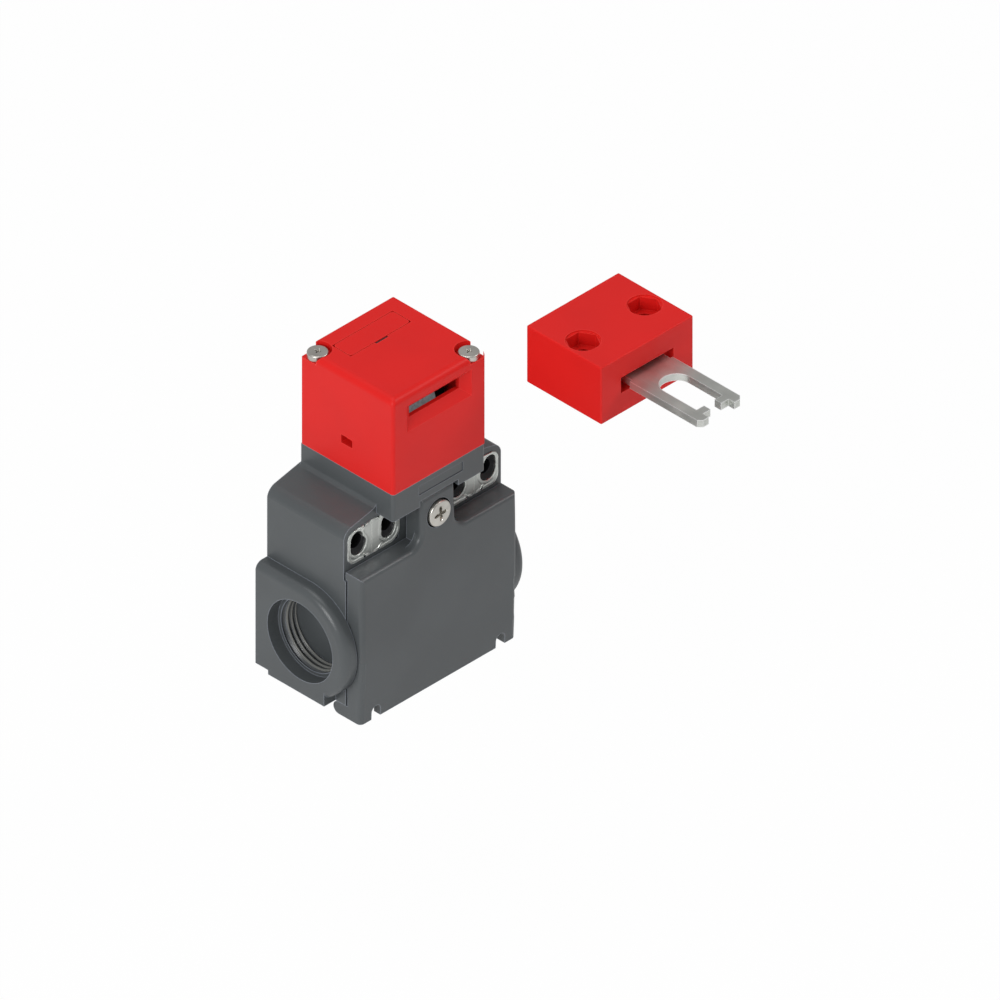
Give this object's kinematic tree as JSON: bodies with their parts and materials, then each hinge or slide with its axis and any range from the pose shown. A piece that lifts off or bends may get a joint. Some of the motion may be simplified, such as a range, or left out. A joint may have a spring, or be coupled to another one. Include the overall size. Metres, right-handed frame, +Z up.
{
  "type": "tongue interlock switch",
  "caption": "Safety interlock switch with turning red head, hinged grey cover and side conduit entries, and a separate red actuator block with a forked steel tongue.",
  "frame": {"origin": "on the mounting plane at the back, midway between the two inner fixing holes", "axes": "+X to the right along the front, +Y out of the back along the fixing holes, +Z up through the head"},
  "size_m": [0.0867, 0.0802, 0.0876],
  "materials": {
    "grey_plastic": "moulded, fine grain",
    "red_plastic": "moulded, satin",
    "black_plastic": "moulded",
    "white_plastic": "moulded",
    "black_rubber": "soft",
    "zinc_plate": "zinc plated, rolled",
    "plated_steel": "nickel plated",
    "bright_steel": "stainless, brushed",
    "brass": "turned",
    "copper_alloy": "stamped"
  },
  "bodies": {
    "switch": {"housing": "grey_plastic", "cover_screw_insert": "brass", "fixing_plate_left": "zinc_plate", "fixing_plate_right": "zinc_plate", "head": "red_plastic", "head_screw_left": "plated_steel", "head_screw_right": "plated_steel", "top_slot_cap": "red_plastic", "head_seal": "black_rubber", "plunger_seal": "black_rubber", "cam_axle": "bright_steel", "contact_block": "black_plastic", "fixed_contacts": "copper_alloy", "terminal_clamps": "plated_steel", "terminal_screws": "plated_steel", "block_screws": "plated_steel", "return_spring": "bright_steel"},
    "cover": {"cover": "grey_plastic", "cover_gasket": "black_rubber"},
    "cover_screw": {"cover_screw": "plated_steel"},
    "cam": {"cam_drum": "black_plastic", "cam_wheel": "bright_steel"},
    "plunger": {"plunger": "white_plastic", "contact_carrier": "white_plastic", "contact_bridges": "copper_alloy"},
    "actuator": {"actuator_block": "red_plastic", "tongue_pin": "bright_steel", "tongue_pads": "black_rubber"},
    "tongue": {"actuator_tongue": "bright_steel"}
  },
  "joints": [
    {"name": "cover_hinge", "type": "hinge", "parent": "switch", "child": "cover", "pos_m": [0, -0.023, -0.0455], "axis": [1, 0, 0], "range_deg": [0, 90]},
    {"name": "cover_screw_slide", "type": "slide", "parent": "cover", "child": "cover_screw", "axis": [0, -1, 0], "range_m": [0, 0.004]},
    {"name": "cam_turn", "type": "hinge", "parent": "switch", "child": "cam", "pos_m": [0, -0.015, 0.0258], "axis": [-1, 0, 0], "range_deg": [0, 60]},
    {"name": "plunger_travel", "type": "slide", "parent": "switch", "child": "plunger", "axis": [0, 0, 1], "range_m": [0, 0.003], "deforming": ["return_spring"]},
    {"name": "actuator_travel", "type": "slide", "parent": "switch", "child": "actuator", "axis": [0, -1, 0], "range_m": [0, 0.025]},
    {"name": "tongue_tilt", "type": "hinge", "parent": "actuator", "child": "tongue", "pos_m": [0.0423, -0.0505, 0.0324], "axis": [1, 0, 0], "range_deg": [-3, 3], "stiffness_Nm_per_rad": 0.3}
  ],
  "couplings": [
    {"joint": "plunger_travel", "follows": "cam_turn", "m_per_rad": 0.0028648}
  ]
}
